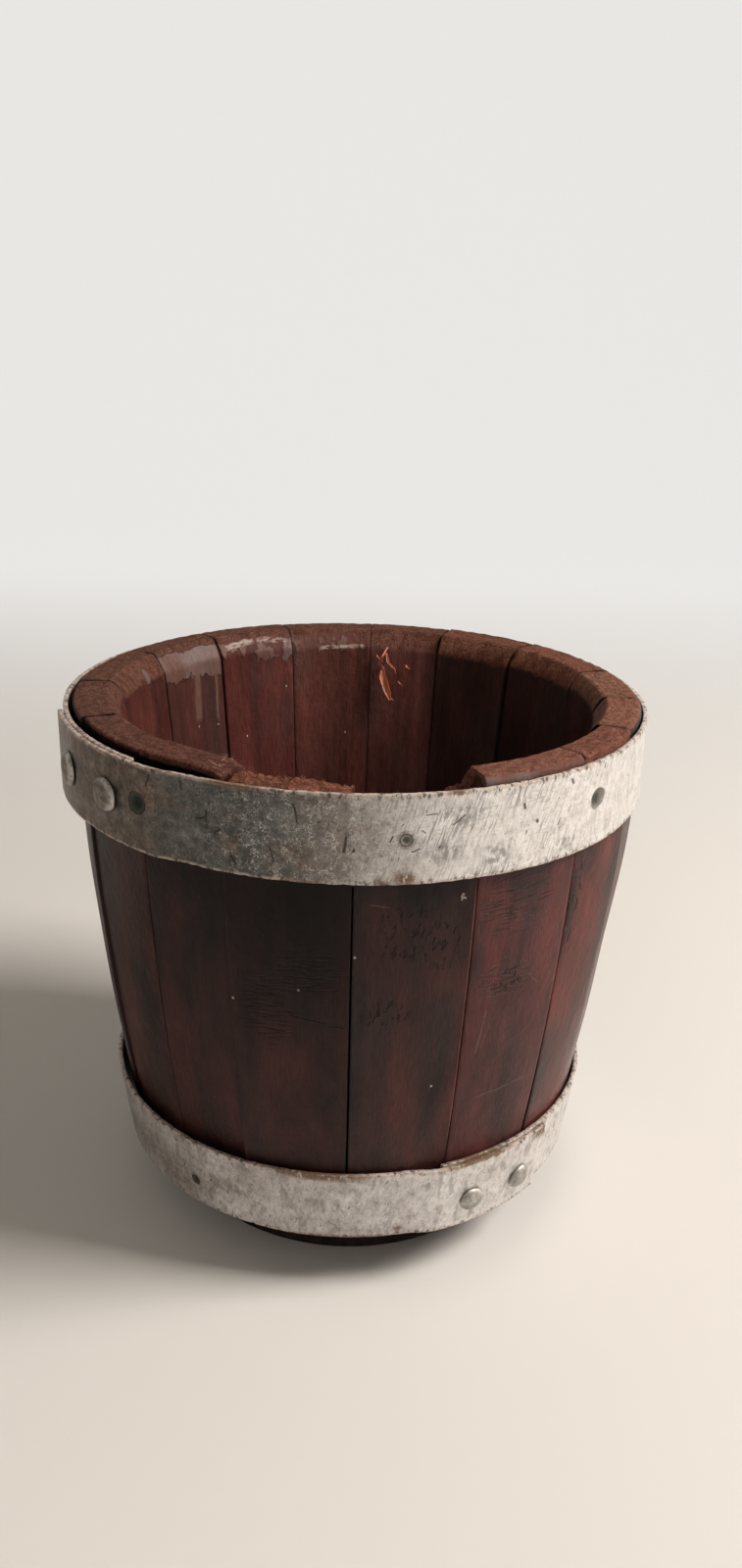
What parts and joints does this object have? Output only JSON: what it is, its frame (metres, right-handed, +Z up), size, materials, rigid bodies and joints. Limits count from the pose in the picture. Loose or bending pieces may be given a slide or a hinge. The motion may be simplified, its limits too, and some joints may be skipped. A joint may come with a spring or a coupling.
{
  "type": "cheese mould",
  "caption": "Tapered coopered cheese mould, open at the top: wooden staves round a dished, drained bottom block with a foot, held by lapped and riveted metal strip hoops.",
  "frame": {"origin": "middle of the flat underside of the foot, on the surface that the mould stands on", "axes": "+Z up along the axis of the mould, -Y towards the viewer of the picture, +X to that viewer's right"},
  "size_m": [0.2533, 0.2532, 0.241],
  "materials": {
    "stave_wood": "dark red-brown wood under a worn satin varnish",
    "bottom_wood": "dark turned wood, matte",
    "hoop_metal": "dull grey strip, scratched and stained",
    "fastener_iron": "old darkened iron"
  },
  "bodies": {
    "root": {"stave_01": "stave_wood", "stave_02": "stave_wood", "stave_03": "stave_wood", "stave_04": "stave_wood", "stave_05": "stave_wood", "stave_06": "stave_wood", "stave_07": "stave_wood", "stave_08": "stave_wood", "stave_09": "stave_wood", "stave_10": "stave_wood", "stave_11": "stave_wood", "stave_12": "stave_wood", "stave_13": "stave_wood", "stave_14": "stave_wood", "stave_15": "stave_wood", "stave_16": "stave_wood", "bottom_board": "bottom_wood", "upper_hoop": "hoop_metal", "lower_hoop": "hoop_metal", "upper_hoop_rivet_1": "hoop_metal", "upper_hoop_rivet_2": "hoop_metal", "lower_hoop_rivet_1": "hoop_metal", "lower_hoop_rivet_2": "hoop_metal", "upper_hoop_screw_1": "fastener_iron", "upper_hoop_screw_2": "fastener_iron", "upper_hoop_screw_3": "fastener_iron", "upper_hoop_screw_4": "fastener_iron", "upper_hoop_nail_1": "fastener_iron", "lower_hoop_nail_1": "fastener_iron", "lower_hoop_nail_2": "fastener_iron", "lower_hoop_nail_3": "fastener_iron"}
  },
  "joints": []
}
